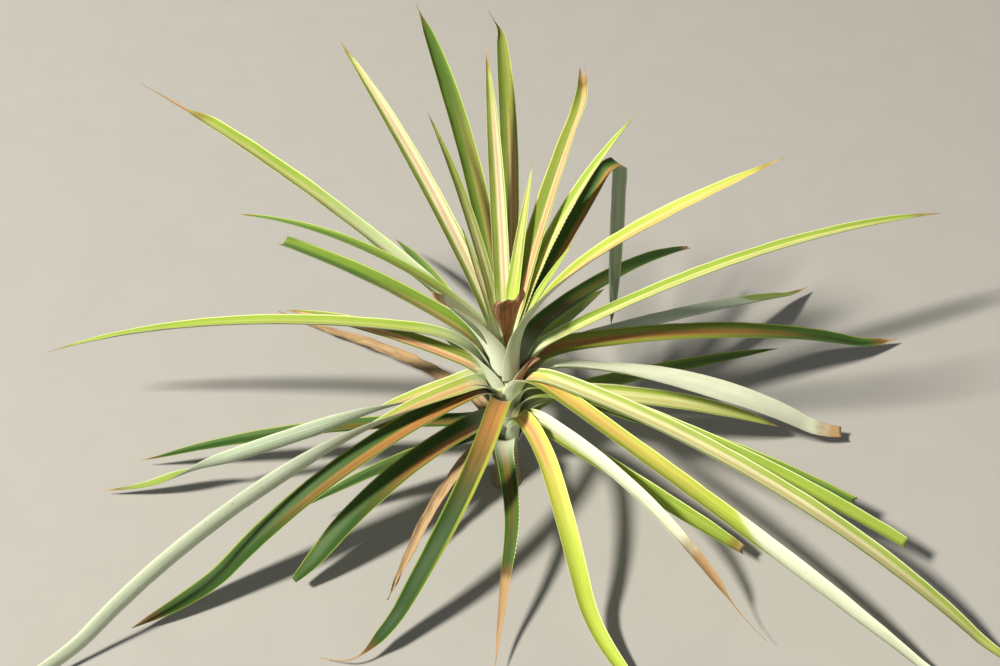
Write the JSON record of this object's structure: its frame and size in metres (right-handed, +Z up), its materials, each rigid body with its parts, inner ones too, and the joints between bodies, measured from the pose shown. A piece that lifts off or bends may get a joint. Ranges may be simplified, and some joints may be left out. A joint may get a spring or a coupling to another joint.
{
  "type": "pineapple plant",
  "caption": "Rosette of long arching channelled leaves on a short leaning stem, without fruit, rooted in the ground for planting out in a garden scene.",
  "frame": {"origin": "centre of the flat cut under the stem, at ground level", "axes": "+Z up from the ground, +Y the way the stem leans, away from the picture's viewer, +X to the viewer's right"},
  "size_m": [1.573, 1.0841, 0.716],
  "materials": {
    "stem": "matt, pale buff skin with rings of old leaf scars",
    "pale_leaf": "waxy, cream centre and green margins",
    "lime_leaf": "waxy, bright yellow-green with faint pale stripes",
    "green_leaf": "waxy, mid green with yellow-green margins",
    "dark_leaf": "waxy, dark green with a bronze centre",
    "bronze_leaf": "waxy, bronze and pink centre with green margins",
    "gold_leaf": "waxy, orange-yellow towards the base, yellow-green towards the tip",
    "silver_leaf": "matt, silvery blue-green bloom of a leaf's underside",
    "straw_leaf": "matt, dry tan and fibrous",
    "brown_leaf": "matt, withered brown"
  },
  "bodies": {
    "root": {"stem": "stem", "heart_leaf_1": "lime_leaf", "heart_leaf_2": "pale_leaf", "heart_leaf_3": "bronze_leaf", "heart_leaf_4": "green_leaf", "heart_leaf_5": "pale_leaf", "heart_leaf_6": "bronze_leaf", "heart_leaf_7": "pale_leaf", "heart_leaf_8": "lime_leaf", "back_leaf_1": "pale_leaf", "back_leaf_2": "lime_leaf", "left_leaf_1": "lime_leaf", "left_leaf_2": "green_leaf", "left_leaf_3": "green_leaf", "left_leaf_4": "lime_leaf", "left_leaf_5": "bronze_leaf", "left_leaf_6": "silver_leaf", "left_leaf_7": "silver_leaf", "left_leaf_8": "dark_leaf", "left_leaf_9": "dark_leaf", "left_leaf_10": "dark_leaf", "left_leaf_11": "dark_leaf", "broken_leaf": "silver_leaf", "front_leaf_1": "dark_leaf", "front_leaf_2": "dark_leaf", "front_leaf_3": "gold_leaf", "right_leaf_1": "pale_leaf", "right_leaf_2": "lime_leaf", "right_leaf_3": "gold_leaf", "right_leaf_4": "pale_leaf", "right_leaf_5": "lime_leaf", "right_leaf_6": "silver_leaf", "right_leaf_7": "pale_leaf", "right_leaf_8": "dark_leaf", "right_leaf_9": "silver_leaf", "right_leaf_10": "green_leaf", "right_leaf_11": "lime_leaf", "right_leaf_12": "gold_leaf", "right_leaf_13": "green_leaf", "folded_leaf": "dark_leaf", "folded_leaf_tip": "silver_leaf", "back_leaf_3": "dark_leaf", "back_leaf_4": "silver_leaf", "shaded_leaf_1": "dark_leaf", "shaded_leaf_2": "dark_leaf", "shaded_leaf_3": "dark_leaf", "back_leaf_5": "green_leaf", "dead_leaf_1": "straw_leaf", "dead_leaf_2": "straw_leaf", "withered_leaf_1": "brown_leaf", "withered_leaf_2": "brown_leaf"}
  },
  "joints": []
}
